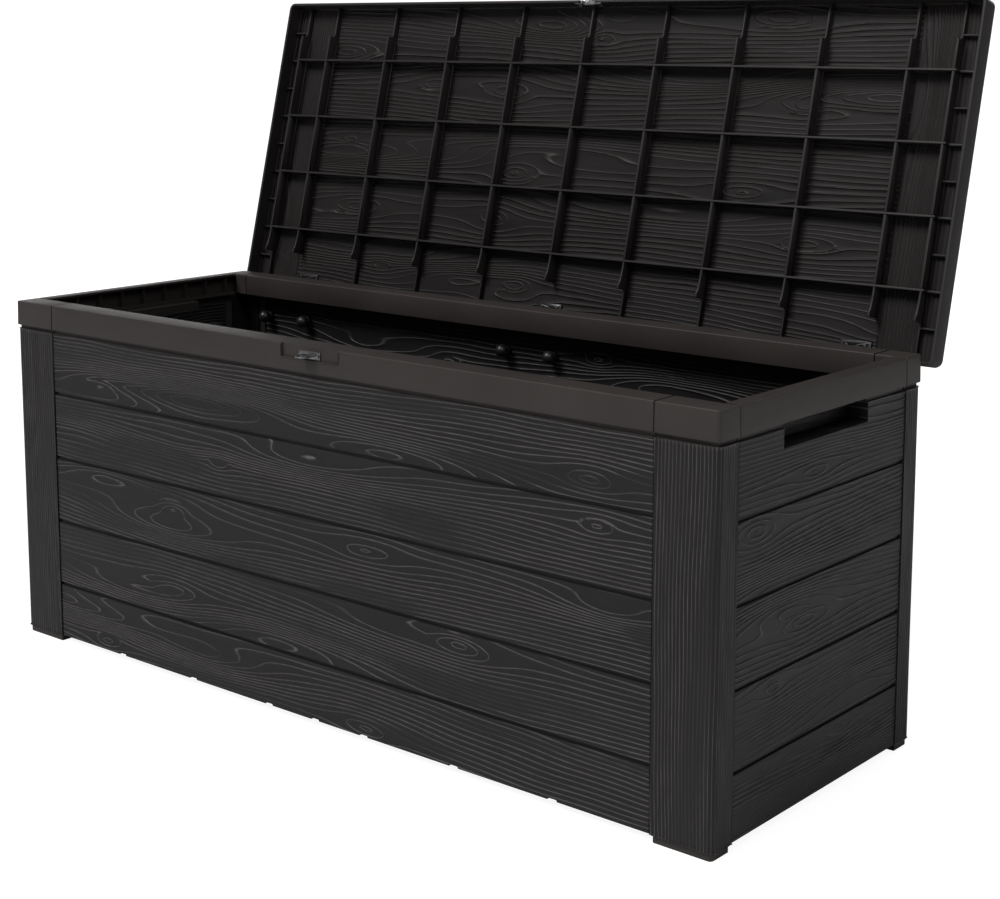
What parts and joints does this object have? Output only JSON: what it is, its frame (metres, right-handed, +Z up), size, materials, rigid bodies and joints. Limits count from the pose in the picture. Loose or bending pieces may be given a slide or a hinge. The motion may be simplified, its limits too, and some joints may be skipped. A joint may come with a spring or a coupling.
{
  "type": "storage bench",
  "caption": "Long resin storage box in dark wood-look planks, with a smooth rim, hand slots and a ribbed lid hinged along the rear.",
  "frame": {"origin": "on the ground under the middle of the box", "axes": "+X along the length to the right as seen from the front, -Y towards the front, +Z up"},
  "size_m": [1.216, 0.605, 0.9252],
  "materials": {
    "resin": "satin moulded wood grain",
    "dark_resin": "satin",
    "steel": "zinc plated"
  },
  "bodies": {
    "box": {"floor_panel": "dark_resin", "floor_feet": "dark_resin", "front_panel": "resin", "rear_panel": "resin", "left_panel": "resin", "right_panel": "resin", "front_left_post": "resin", "front_right_post": "resin", "rear_left_post": "resin", "rear_right_post": "resin", "left_hinge_bracket": "dark_resin", "middle_hinge_bracket": "dark_resin", "right_hinge_bracket": "dark_resin", "left_hinge_pin": "steel", "middle_hinge_pin": "steel", "right_hinge_pin": "steel", "left_hinge_knobs": "dark_resin", "middle_hinge_knobs": "dark_resin", "right_hinge_knobs": "dark_resin", "catch_staple": "steel", "catch_staple_screws": "steel"},
    "lid": {"lid_panel": "resin", "lid_cross_ribs": "resin", "lid_long_ribs": "resin", "left_hinge_leaf": "dark_resin", "middle_hinge_leaf": "dark_resin", "right_hinge_leaf": "dark_resin", "left_leaf_screws": "steel", "middle_leaf_screws": "steel", "right_leaf_screws": "steel", "lid_hasp": "steel", "lid_hasp_screws": "steel"}
  },
  "joints": [
    {"name": "lid_hinge", "type": "hinge", "parent": "box", "child": "lid", "pos_m": [0, 0.228, 0.474], "axis": [1, 0, 0], "range_deg": [0, 104]}
  ]
}
